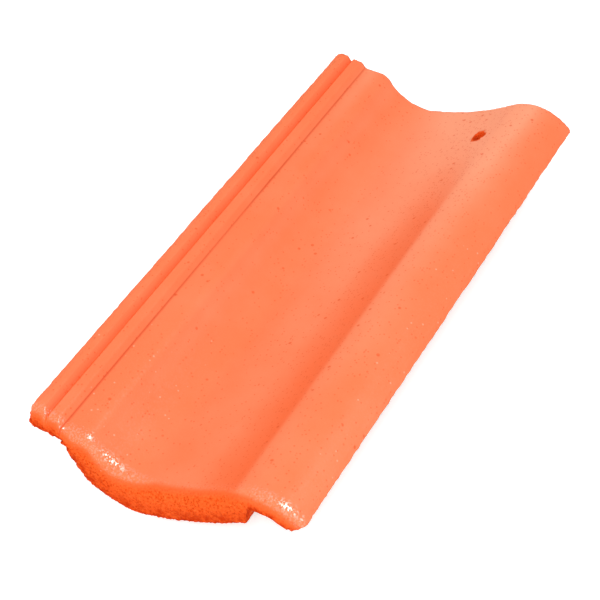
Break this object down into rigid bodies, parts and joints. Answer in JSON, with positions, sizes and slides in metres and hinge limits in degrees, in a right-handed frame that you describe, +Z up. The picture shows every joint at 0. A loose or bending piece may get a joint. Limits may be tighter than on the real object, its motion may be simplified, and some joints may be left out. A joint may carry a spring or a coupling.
{
  "type": "roof tile",
  "caption": "Interlocking pan-and-roll clay roof tile with a ribbed side underlock, thick rounded nose, hanging nibs and a nail hole.",
  "frame": {"origin": "middle of the level plane that the nose and the nibs stand on, under the middle of the tile", "axes": "+X across the slope, from the underlock to the roll; +Y up the slope, from the nose to the head; +Z up, square to the roof"},
  "size_m": [0.1918, 0.42, 0.0651],
  "materials": {
    "fired_clay": "satin orange paint over gritty fired clay"
  },
  "bodies": {
    "root": {"roof_tile": "fired_clay"}
  },
  "joints": []
}
